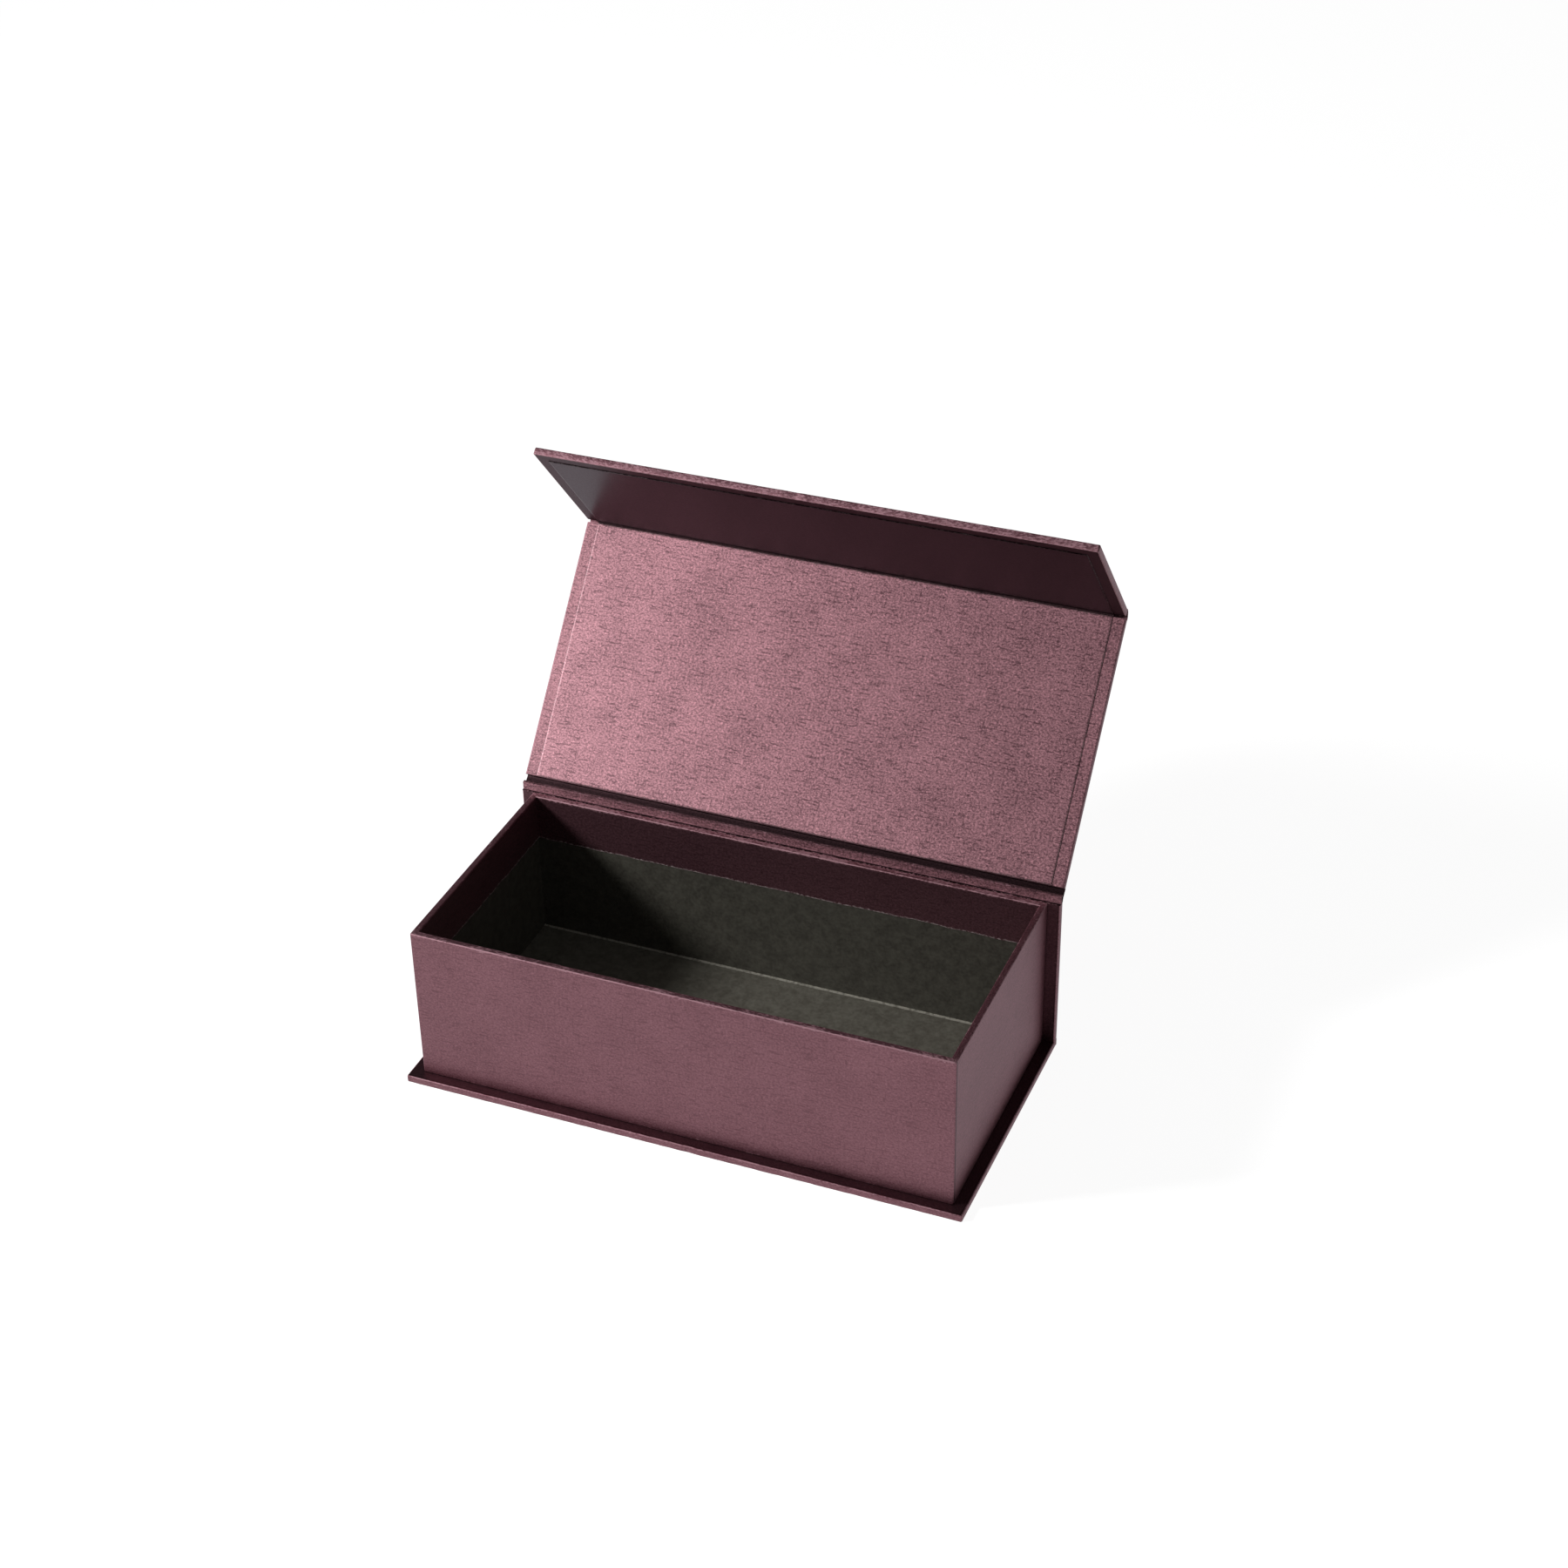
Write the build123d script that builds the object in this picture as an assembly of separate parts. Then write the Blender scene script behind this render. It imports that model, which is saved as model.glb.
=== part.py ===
from build123d import *
from math import cos, radians, sin
import os

# Book-style rigid gift box: a board tray glued inside a wrap-around case of
# base, spine, lid and front flap. Lengths are millimetres, angles degrees.
# X is the width, Y the depth with the front at -Y, and Z is up. The origin is
# the centre of the case's underside.

# Tray
tray_width = 220.0
tray_depth = 105.8
tray_height = 66.4
tray_board = 1.8
rim_turn_in = 20.0
bottom_turn_in = 14.0
corner_round = 0.5
rim_edge_round = 0.3
mouth_edge_round = 0.2
stay_leg = 10.0

# Case panels
case_board = 2.5
side_ledge = 5.0
front_ledge = 4.8
case_turn_in = 15.0
panel_edge_round = 0.4
liner_inset = 5.0

# Papers and glue
paper = 0.25
lining = 0.2
glue_line = 0.12

# Lid hinge: the axis lies just behind the spine's outer face and above the rim
hinge_set_back = 0.5
hinge_rise = 2.4
lid_hinge_gap = 2.8
lid_opened = 130.0

# Flap fold
fold_clearance = 0.1
flap_opened = 8.9

# Clearances of the closed box
lid_clearance = 0.3
flap_clearance = 0.3
flap_foot_clearance = 0.5
seat_play = 0.05

# Magnets in the flap and the steel discs that they meet in the tray
magnet_diameter = 12.0
magnet_thickness = 1.5
disc_diameter = 12.0
disc_thickness = 0.8
magnet_spacing = 150.0
magnet_from_free_edge = 16.0

# Derived sizes
panel = paper + case_board + paper
lined_panel = panel + paper
case_width = tray_width + 2 * side_ledge
liner_width = case_width - 2 * liner_inset
case_depth = front_ledge + tray_depth + glue_line + panel
case_front = -case_depth / 2
case_back = case_depth / 2
tray_front = case_front + front_ledge
tray_back = tray_front + tray_depth
tray_bottom = panel
rim = tray_bottom + tray_height
spine_inner = tray_back + glue_line
spine_outer = case_back - paper
base_length = case_depth - paper
spine_length = rim - paper - panel
wrap_stack = paper + glue_line

# Hinge and fold lines in the closed box, as places in Y and Z
hinge_y = case_back + hinge_set_back
hinge_z = rim + hinge_rise
lid_inner_z = rim + lid_clearance + paper
lid_rear = hinge_y - lid_hinge_gap
fold_y = tray_front - flap_clearance - lined_panel
fold_z = lid_inner_z + panel
fold_gap = lined_panel + fold_clearance
lid_length = lid_rear - fold_y - fold_gap
flap_length = fold_z - fold_gap - panel - flap_foot_clearance

# Magnets: along the width, from the flap's hinged edge, and above the table when closed
magnet_places = (-magnet_spacing / 2, magnet_spacing / 2)
magnet_reach = flap_length - magnet_from_free_edge
magnet_height = fold_z - fold_gap - magnet_reach


def block(x, y, z):
    """A box from its spans along X, Y and Z."""
    size = (x[1] - x[0], y[1] - y[0], z[1] - z[0])
    middle = ((x[0] + x[1]) / 2, (y[0] + y[1]) / 2, (z[0] + z[1]) / 2)
    return Pos(*middle) * Box(*size)


def across(width):
    """The span along X of something centred on the box."""
    return (-width / 2, width / 2)


def round_edges(solid, axis, radius, chosen=lambda edge: True):
    """Rounds the chosen edges of a solid that run along an axis."""
    edges = [edge for edge in solid.edges().filter_by(axis) if chosen(edge)]
    return fillet(edges, radius)


# Panels are drawn flat, as the case lies open on a bench: X is the width, Y
# runs from the panel's hinged edge, and Z is 0 on the inner turn-ins and grows
# towards the outside.
def panel_board(length, wrapped_end):
    end = length - (paper if wrapped_end else 0)
    return block(across(case_width - 2 * paper), (0, end), (paper, paper + case_board))


def panel_cover(length, wrapped_end):
    """The covering paper: outside, round the edges, and turned in over the board."""
    sheet = block(across(case_width), (0, length), (0, panel))
    sheet = round_edges(sheet, Axis.Y, panel_edge_round)
    if wrapped_end:
        sheet = round_edges(sheet, Axis.X, panel_edge_round, lambda edge: edge.center().Y > length - paper)
    board_end = length - (paper if wrapped_end else 0)
    window_end = length - (case_turn_in if wrapped_end else 0)
    sheet -= block(across(case_width - 2 * paper), (0, board_end), (paper, paper + case_board))
    return sheet - block(across(case_width - 2 * case_turn_in), (0, window_end), (0, paper))


def panel_liner(length):
    """The inside sheet, set in from the panel's side edges, over the turn-ins."""
    return block(across(liner_width), (0, length), (-paper, 0))


def panel_place(origin, x_direction, outward):
    """Where a panel's own frame lies in the closed box."""
    return Plane(origin=origin, x_dir=x_direction, z_dir=outward).location


base_place = panel_place((0, case_back - paper, panel), (1, 0, 0), (0, 0, -1))
spine_place = panel_place((0, spine_inner, panel), (-1, 0, 0), (0, 1, 0))
lid_place = panel_place((0, lid_rear, lid_inner_z), (-1, 0, 0), (0, 0, 1))
flap_place = panel_place((0, fold_y + panel, fold_z - fold_gap), (-1, 0, 0), (0, -1, 0))
lid_hinge = Axis((0, hinge_y, hinge_z), (1, 0, 0))
flap_fold = Axis((0, fold_y, fold_z), (1, 0, 0))


def open_lid(shape):
    """Swings a piece of the closed lid open to the rest pose."""
    return shape.rotate(lid_hinge, -lid_opened)


def open_flap(shape):
    """Opens a piece of the closed flap, then carries it with the lid."""
    return open_lid(shape.rotate(flap_fold, -flap_opened))


def on_lid(shape):
    return open_lid(lid_place * shape)


def on_flap(shape):
    return open_flap(flap_place * shape)


def turned(point, pivot, angle):
    """A place in Y and Z, turned about a line along X."""
    y = point[0] - pivot[0]
    z = point[1] - pivot[1]
    c = cos(radians(angle))
    s = sin(radians(angle))
    return (pivot[0] + y * c - z * s, pivot[1] + y * s + z * c)


def lid_point(y, z):
    """A point of the lid's own panel frame, as a place in the rest pose."""
    closed = (lid_rear - y, lid_inner_z + z)
    return turned(closed, (hinge_y, hinge_z), -lid_opened)


def flap_point(y, z):
    """A point of the flap's own panel frame, as a place in the rest pose."""
    closed = (fold_y + panel - z, fold_z - fold_gap - y)
    beside_lid = turned(closed, (fold_y, fold_z), -flap_opened)
    return turned(beside_lid, (hinge_y, hinge_z), -lid_opened)


def runs_along(panel_point):
    """The way a panel runs from its hinged edge, in the rest pose."""
    near = panel_point(0, 0)
    far = panel_point(1, 0)
    return (far[0] - near[0], far[1] - near[1])


def bent_sheet(width, first, last, first_way, last_way):
    """A sheet that leaves one edge and meets another, with its two faces as splines.

    first and last each give the inner and the outer point of the sheet's end.
    """
    ways = [(0, *first_way), (0, *last_way)]
    inner = Spline([(0, *first[0]), (0, *last[0])], tangents=ways)
    outer = Spline([(0, *first[1]), (0, *last[1])], tangents=ways)
    near_end = Line((0, *first[0]), (0, *first[1]))
    far_end = Line((0, *last[0]), (0, *last[1]))
    profile = Face(Wire([inner, far_end, outer, near_end]))
    return extrude(profile, amount=width / 2, dir=(1, 0, 0), both=True)


# Case
def base_heel():
    """The covering paper that turns up from the base's underside to the spine."""
    return block(across(case_width), (case_back - paper, case_back), (0, panel))


def lid_hinge_outer():
    """The covering paper between the spine and the lid."""
    first = ((spine_outer, rim - paper), (case_back, rim - paper))
    last = (lid_point(0, panel - paper), lid_point(0, panel))
    return bent_sheet(case_width, first, last, (0, 1), runs_along(lid_point))


def lid_hinge_inner():
    """The joint paper over the spine's top edge, up the hinge and round the lid's edge."""
    top = block(across(case_width), (spine_inner, spine_outer), (rim - paper, rim))
    first = ((spine_outer - paper, rim - paper), (spine_outer, rim - paper))
    last = (lid_point(0, panel - 2 * paper), lid_point(0, panel - paper))
    strip = bent_sheet(case_width, first, last, (0, 1), runs_along(lid_point))
    edge = on_lid(block(across(case_width), (-paper, 0), (0, panel - 1.5 * paper)))
    return top + strip + edge


def flap_hinge_outer():
    """The covering paper round the outside of the flap's fold."""
    first = (lid_point(lid_length, panel - paper), lid_point(lid_length, panel))
    last = (flap_point(0, panel - paper), flap_point(0, panel))
    return bent_sheet(case_width, first, last, runs_along(lid_point), runs_along(flap_point))


def flap_hinge_inner():
    """The liner where it crosses the inside of the flap's fold."""
    first = (lid_point(lid_length, -paper), lid_point(lid_length, 0))
    last = (flap_point(0, -paper), flap_point(0, 0))
    return bent_sheet(liner_width, first, last, runs_along(lid_point), runs_along(flap_point))


def flap_discs(diameter):
    """Round solids sunk from the inner face of the flap's board."""
    disc = Cylinder(diameter / 2, magnet_thickness)
    return [Pos(x, magnet_reach, paper + magnet_thickness / 2) * disc for x in magnet_places]


def flap_board_piece():
    board = panel_board(flap_length, True)
    for pocket in flap_discs(magnet_diameter + 2 * seat_play):
        board -= pocket
    return on_flap(board)


def flap_magnets():
    return [on_flap(magnet) for magnet in flap_discs(magnet_diameter)]


# Tray
board_front = tray_front + wrap_stack
board_back = tray_back - wrap_stack
board_width = tray_width - 2 * wrap_stack
inner_width = board_width - 2 * tray_board
inner_front = board_front + tray_board
inner_back = board_back - tray_board
wall_foot = tray_bottom + paper
wall_top = rim - paper
floor_top = wall_foot + tray_board


def on_mouth(edge, half_width, mouth_y):
    """Whether an edge lies on the rim, round the tray's mouth."""
    place = edge.center()
    inside = abs(place.X) < half_width + paper and mouth_y[0] - paper < place.Y < mouth_y[1] + paper
    return inside and abs(place.Z - rim) < paper / 2


def tray_wrap():
    """One sheet round the four walls, turned in under the floor and over the rim."""
    sheet = block(across(tray_width), (tray_front, tray_back), (tray_bottom, rim))
    sheet = round_edges(sheet, Axis.Z, corner_round)
    level_edges = [edge for edge in sheet.edges() if abs(edge.tangent_at(0.5).Z) < 0.5]
    sheet = fillet(level_edges, rim_edge_round)
    core_y = (tray_front + paper, tray_back - paper)
    sheet -= block(across(tray_width - 2 * paper), core_y, (wall_foot, wall_top))
    under_y = (tray_front + bottom_turn_in, tray_back - bottom_turn_in)
    sheet -= block(across(tray_width - 2 * bottom_turn_in), under_y, (tray_bottom, wall_foot))
    mouth_width = inner_width - 2 * lining - 2 * paper
    mouth_y = (inner_front + lining + paper, inner_back - lining - paper)
    sheet -= block(across(mouth_width), mouth_y, (wall_top, rim))
    band_y = (mouth_y[0] - paper, mouth_y[1] + paper)
    band = block(across(mouth_width + 2 * paper), band_y, (rim - rim_turn_in, rim))
    band -= block(across(mouth_width), mouth_y, (rim - rim_turn_in, rim))
    sheet += band
    mouth = [edge for edge in sheet.edges() if on_mouth(edge, mouth_width / 2, mouth_y)]
    return fillet(mouth, mouth_edge_round)


def tray_discs(diameter):
    """Round solids sunk from the outer face of the tray's front board, facing the magnets."""
    disc = Rot(90, 0, 0) * Cylinder(diameter / 2, disc_thickness)
    return [Pos(x, board_front + disc_thickness / 2, magnet_height) * disc for x in magnet_places]


def tray_front_board():
    board = block(across(board_width), (board_front, inner_front), (wall_foot, wall_top))
    for pocket in tray_discs(disc_diameter + 2 * seat_play):
        board -= pocket
    return board


def tray_back_board():
    return block(across(board_width), (inner_back, board_back), (wall_foot, wall_top))


def tray_side_board(side):
    x = sorted((side * board_width / 2, side * inner_width / 2))
    return block(x, (inner_front, inner_back), (wall_foot, wall_top))


def tray_long_lining(face, into):
    """The lining of the front or the back wall, from the board's face into the tray."""
    return block(across(inner_width), sorted((face, face + into * lining)), (floor_top, wall_top))


def tray_side_lining(side):
    x = sorted((side * inner_width / 2, side * (inner_width / 2 - lining)))
    return block(x, (inner_front + lining, inner_back - lining), (floor_top, wall_top))


def tray_floor_board():
    return block(across(inner_width), (inner_front, inner_back), (wall_foot, floor_top))


def tray_floor_lining():
    y = (inner_front + lining, inner_back - lining)
    return block(across(inner_width - 2 * lining), y, (floor_top, floor_top + lining))


def corner_stays():
    """Gummed tape folded round each upright corner of the tray's boards."""
    upright = (wall_foot, wall_top)
    tape_y = (board_front - glue_line, board_back + glue_line)
    band = block(across(board_width + 2 * glue_line), tape_y, upright)
    band -= block(across(board_width), (board_front, board_back), upright)
    stays = []
    for x in (-board_width / 2, board_width / 2):
        for y in (board_front, board_back):
            leg_x = (x - stay_leg, x + stay_leg)
            leg_y = (y - stay_leg, y + stay_leg)
            stays.append(band & block(leg_x, leg_y, upright))
    return stays


pieces = {
    "base_board": base_place * panel_board(base_length, True),
    "base_cover": base_place * panel_cover(base_length, True) + base_heel(),
    "spine_board": spine_place * panel_board(spine_length, False),
    "spine_cover": spine_place * panel_cover(spine_length, False),
    "tray_floor_board": tray_floor_board(),
    "tray_front_board": tray_front_board(),
    "tray_back_board": tray_back_board(),
    "tray_left_board": tray_side_board(-1),
    "tray_right_board": tray_side_board(1),
    "tray_corner_stays": corner_stays(),
    "tray_strike_discs": tray_discs(disc_diameter),
    "tray_wrap": tray_wrap(),
    "tray_floor_lining": tray_floor_lining(),
    "tray_front_lining": tray_long_lining(inner_front, 1),
    "tray_back_lining": tray_long_lining(inner_back, -1),
    "tray_left_lining": tray_side_lining(-1),
    "tray_right_lining": tray_side_lining(1),
    "lid_hinge_outer": lid_hinge_outer(),
    "lid_hinge_inner": lid_hinge_inner(),
    "lid_board": on_lid(panel_board(lid_length, False)),
    "lid_cover": on_lid(panel_cover(lid_length, False)),
    "lid_liner": on_lid(panel_liner(lid_length)),
    "flap_hinge_outer": flap_hinge_outer(),
    "flap_hinge_inner": flap_hinge_inner(),
    "flap_board": flap_board_piece(),
    "flap_cover": on_flap(panel_cover(flap_length, True)),
    "flap_liner": on_flap(panel_liner(flap_length - liner_inset)),
    "flap_magnets": flap_magnets(),
}

os.makedirs("parts", exist_ok=True)
for name, piece in pieces.items():
    solids = piece if isinstance(piece, list) else [piece]
    shape = Compound(children=[solid for group in solids for solid in group.solids()])
    export_step(shape, f"parts/{name}.step")
    print(f"{name}: {len(shape.solids())} solids, {shape.volume:.1f} mm3")

rest_fold = turned((fold_y, fold_z), (hinge_y, hinge_z), -lid_opened)
print(f"lid hinge axis: y {hinge_y:.3f}, z {hinge_z:.3f}")
print(f"flap fold axis at rest: y {rest_fold[0]:.3f}, z {rest_fold[1]:.3f}")
print(f"case {case_width:.1f} by {case_depth:.1f}, rim {rim:.2f}")
print(f"lid {lid_length:.2f}, flap {flap_length:.2f}")
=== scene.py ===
import bmesh
import bpy
import numpy as np
from mathutils import Matrix


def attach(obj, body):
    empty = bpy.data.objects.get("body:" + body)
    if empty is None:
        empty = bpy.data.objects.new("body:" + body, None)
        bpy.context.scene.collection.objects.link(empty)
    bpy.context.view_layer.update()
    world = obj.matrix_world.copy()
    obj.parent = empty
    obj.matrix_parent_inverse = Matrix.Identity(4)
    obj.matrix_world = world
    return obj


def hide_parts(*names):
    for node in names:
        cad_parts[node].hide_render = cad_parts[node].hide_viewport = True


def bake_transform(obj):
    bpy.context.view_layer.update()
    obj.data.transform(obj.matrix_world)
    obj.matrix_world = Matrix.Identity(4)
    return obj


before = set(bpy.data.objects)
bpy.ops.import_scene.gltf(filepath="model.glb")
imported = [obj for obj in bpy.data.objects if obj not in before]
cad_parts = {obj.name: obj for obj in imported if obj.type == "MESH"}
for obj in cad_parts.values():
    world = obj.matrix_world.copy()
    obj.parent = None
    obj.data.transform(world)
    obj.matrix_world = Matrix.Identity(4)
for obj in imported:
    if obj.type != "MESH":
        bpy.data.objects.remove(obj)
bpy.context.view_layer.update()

# Driving sizes in metres, as in the model: X is the width, the front is at -Y, Z is up
mm = 0.001
paper = 0.25 * mm
lining = 0.2 * mm
glue_line = 0.12 * mm
tray_board = 1.8 * mm
case_board = 2.5 * mm
tray_width = 220.0 * mm
tray_depth = 105.8 * mm
tray_height = 66.4 * mm
side_ledge = 5.0 * mm
front_ledge = 4.8 * mm
case_turn_in = 15.0 * mm
rim_turn_in = 20.0 * mm
bottom_turn_in = 14.0 * mm
liner_inset = 5.0 * mm
edge_round = 0.45 * mm
corner_round = 0.7 * mm
heel_round = 0.2 * mm

# Hinge and fold of the lid and flap
lid_opened = np.radians(130.0)
flap_opened = np.radians(8.9)
hinge_set_back = 0.5 * mm
hinge_rise = 2.4 * mm
lid_hinge_gap = 2.8 * mm
lid_clearance = 0.3 * mm
flap_clearance = 0.3 * mm
flap_foot_clearance = 0.5 * mm
fold_clearance = 0.1 * mm
sheet_over_hinge = 6.0 * mm
sheet_over_fold = 5.0 * mm

# Unevenness of cut edges and bent papers
free_edge_wave = 0.14 * mm
liner_edge_wave = 0.09 * mm
turn_in_tear = 0.45 * mm
lid_hinge_ridges = 0.05 * mm
flap_hinge_ridges = 0.03 * mm

# Sizes and places worked out from these, in the closed box
panel = paper + case_board + paper
lined_panel = panel + paper
case_width = tray_width + 2 * side_ledge
liner_width = case_width - 2 * liner_inset
case_depth = front_ledge + tray_depth + glue_line + panel
case_back = case_depth / 2
tray_front = front_ledge - case_back
tray_back = tray_front + tray_depth
tray_bottom = panel
rim = tray_bottom + tray_height
wall_inset = paper + tray_board + lining + glue_line + paper
floor_board_top = tray_bottom + paper + tray_board
base_length = case_depth - paper
spine_inner = tray_back + glue_line
spine_outer = case_back - paper
spine_length = rim - paper - panel
hinge = np.array((0.0, case_back + hinge_set_back, rim + hinge_rise))
lid_inner_z = rim + lid_clearance + paper
lid_rear = hinge[1] - lid_hinge_gap
fold = np.array((0.0, tray_front - flap_clearance - lined_panel, lid_inner_z + panel))
fold_gap = lined_panel + fold_clearance
lid_length = lid_rear - fold[1] - fold_gap
flap_length = fold[2] - fold_gap - panel - flap_foot_clearance

# Where the panels start along the covering sheet, measured from the back of the base
spine_start = panel
lid_start = spine_start + spine_length + sheet_over_hinge
flap_start = lid_start + lid_length + sheet_over_fold

# Shade marks: painted light in the liner's lighter colours, and painted shade at the bottom of a groove or
# seam
painted_light_mark = -1.0
painted_deep_shade = 1.2

# Points along the outlines and curves
edge_arc_points = 5
corner_points = 7
case_side_points = 24
case_end_points = 144
tray_side_points = 60
liner_side_points = 90
panel_stations = 25
curve_points = 25
joint_curve_points = 21
width_points = 161


# Panel frames: x across, y away from the panel's hinged edge, z outwards from its inner face
def turn_about(points, line, angle):
    """Turns points about a line along X: a plane rotation of Y and Z round the line's place."""
    moved = points - line
    c, s = np.cos(angle), np.sin(angle)
    y = moved[..., 1] * c - moved[..., 2] * s
    z = moved[..., 1] * s + moved[..., 2] * c
    return np.stack((moved[..., 0], y, z), axis=-1) + line


def on_base(points):
    """The base lies on the table: y runs forward from its back edge and z goes down."""
    x, y, z = np.moveaxis(points, -1, 0)
    return np.stack((x, case_back - paper - y, panel - z), axis=-1)


def on_spine(points):
    """The spine stands on the base: y goes up and z goes back."""
    x, y, z = np.moveaxis(points, -1, 0)
    return np.stack((-x, spine_inner + z, panel + y), axis=-1)


def on_lid(points):
    """The lid lies shut with y forward and z up, and is then turned open about the hinge."""
    x, y, z = np.moveaxis(points, -1, 0)
    closed = np.stack((-x, lid_rear - y, lid_inner_z + z), axis=-1)
    return turn_about(closed, hinge, -lid_opened)


def on_flap(points):
    """The flap hangs shut with y down and z forward, and is turned about the fold and the hinge."""
    x, y, z = np.moveaxis(points, -1, 0)
    closed = np.stack((-x, fold[1] + panel - z, fold[2] - fold_gap - y), axis=-1)
    return turn_about(turn_about(closed, fold, -flap_opened), hinge, -lid_opened)


def yz(place, y, z):
    """A point in the middle of a panel's width, as a place in Y and Z."""
    return place(np.array((0.0, y, z)))[1:]


def way_of(place):
    """The way in which a panel runs from its hinged edge, as a unit step in Y and Z."""
    step = yz(place, 1.0, 0.0) - yz(place, 0.0, 0.0)
    return step / np.linalg.norm(step)


# Meshes
def finish_piece(name, points, faces, sheet, marks):
    """Makes an object from points and faces, with its place on the sheet and its marks.

    Points that lie together are merged, and the faces are turned outwards.
    """
    mesh = bpy.data.meshes.new(name)
    mesh.from_pydata(points.reshape(-1, 3).tolist(), [], faces)
    mesh.update()
    corners = np.zeros(len(mesh.loops), dtype=np.int32)
    mesh.loops.foreach_get("vertex_index", corners)
    layer = mesh.uv_layers.new(name="sheet")
    layer.data.foreach_set("uv", sheet.reshape(-1, 2)[corners].astype(np.float32).ravel())
    for mark, values in marks.items():
        attribute = mesh.attributes.new(mark, "FLOAT", "POINT")
        attribute.data.foreach_set("value", values.astype(np.float32).ravel())
    shell = bmesh.new()
    shell.from_mesh(mesh)
    bmesh.ops.remove_doubles(shell, verts=shell.verts, dist=1e-7)
    bmesh.ops.recalc_face_normals(shell, faces=shell.faces)
    shell.to_mesh(mesh)
    shell.free()
    mesh.shade_smooth()
    mesh.set_sharp_from_angle(angle=np.radians(42))
    piece = bpy.data.objects.new(name, mesh)
    bpy.context.scene.collection.objects.link(piece)
    return piece


def grid_faces(rows, columns, close_rows=False, close_columns=False):
    """The four-sided faces of a grid of points, joined end to end where it closes."""
    r = np.arange(rows if close_rows else rows - 1)
    c = np.arange(columns if close_columns else columns - 1)
    r, c = np.meshgrid(r, c, indexing="ij")
    r2, c2 = (r + 1) % rows, (c + 1) % columns
    faces = np.stack((r * columns + c, r * columns + c2, r2 * columns + c2, r2 * columns + c), axis=-1)
    return faces.reshape(-1, 4).tolist()


def end_faces(rows, columns):
    """The two flat faces that close a grid at its first and its last row."""
    last = (rows - 1) * columns
    return [list(range(columns))[::-1], list(range(last, last + columns))]


def tube_faces(rows, columns):
    """The faces of a grid whose rows are closed loops, with both ends shut."""
    return grid_faces(rows, columns, close_columns=True) + end_faces(rows, columns)


def arc_angles(start, end, steps=edge_arc_points):
    """Evenly spaced angles from start to end, which are in degrees."""
    return np.radians(np.linspace(start, end, steps))


def there_and_back(values):
    """Values along a line, and then the same ones in reverse."""
    return np.concatenate((values, values[::-1]))


def run_along(points):
    """The distance along a line of points from its first one."""
    return np.concatenate(([0.0], np.cumsum(np.linalg.norm(np.diff(points, axis=0), axis=1))))


def uneven(count, size, seed, smooth=5):
    """A seeded random line: white noise averaged over a few neighbours, scaled to size."""
    values = np.random.default_rng(seed).normal(size=count + 2 * smooth)
    kernel = np.hanning(smooth + 2)
    values = np.convolve(values, kernel / kernel.sum(), mode="same")[smooth:smooth + count]
    return values * size / (np.abs(values).max() + 1e-9)


# Covering papers of the case
def wrapped_section(worn):
    """The section of the paper round a panel's edge, from its outer face to its inner face.

    The two folds are quarter circles of edge_round. A row holds the inset from the panel's outline,
    the height above its inner face, the unrolled distance from the outline, the nearness to a fold,
    the nearness to a cut edge and the share of painted shade. The last two rows run back inside the sheet.
    """
    r = edge_round
    near_fold, past_fold, before_cut = 1.1 * mm, 2.4 * mm, case_turn_in - 0.8 * mm
    rows = [(past_fold, panel, -past_fold, 0.0, 0.0, 0.0), (near_fold, panel, -near_fold, 0.3, 0.0, 0.0)]
    for a in arc_angles(90, 0):
        d, z = r - r * np.cos(a), panel - r + r * np.sin(a)
        rows.append((d, z, -d + (panel - z), worn + (1 - worn) * np.sin(2 * a), 0.0, 0.0))
    for a in arc_angles(0, -90):
        d, z = r - r * np.cos(a), r + r * np.sin(a)
        rows.append((d, z, panel - z + d, worn + (1 - worn) * np.sin(-2 * a), 0.0, 0.0))
    # The turned-in rows carry painted shade
    turned_in = ((r + 0.15 * mm, 0.2, 0.0, 1.3), (near_fold, 0.1, 0.0, 1.0), (past_fold, 0.0, 0.0, 1.0),
                 (before_cut, 0.0, 0.0, 1.0), (case_turn_in, 0.0, 1.0, 1.0))
    for d, near_a_fold, near_a_cut, shade in turned_in:
        rows.append((d, 0.0, panel + d, near_a_fold, near_a_cut, shade))
    rows.append((case_turn_in, paper, panel + case_turn_in, 0.0, 1.0, 1.0))
    rows.append((paper, paper, panel + paper, 0.0, 0.0, 0.0))
    rows.append((paper, panel - paper, 0.0, 0.0, 0.0, 0.0))
    return np.array(rows)


def three_sided_path(width, length, inset):
    """Round three sides of a panel: up one side, over the free end and down the other.

    The outline is moved inwards by inset, and its two corners are arcs of what the inset leaves.
    """
    r = max(corner_round - inset, 0.0)
    left, right, end = -width / 2 + inset, width / 2 - inset, length - inset
    side = np.linspace(0, end - r, case_side_points)
    up = np.stack((np.full(case_side_points, left), side), axis=-1)
    a = arc_angles(180, 90, corner_points)[1:]
    first = np.stack((left + r + r * np.cos(a), end - r + r * np.sin(a)), axis=-1)
    across = np.linspace(left + r, right - r, case_end_points)[1:]
    over = np.stack((across, np.full(case_end_points - 1, end)), axis=-1)
    a = arc_angles(90, 0, corner_points)[1:]
    second = np.stack((right - r + r * np.cos(a), end - r + r * np.sin(a)), axis=-1)
    down = np.stack((np.full(case_side_points - 1, right), side[-2::-1]), axis=-1)
    return np.concatenate((up, first, over, second, down))


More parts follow.
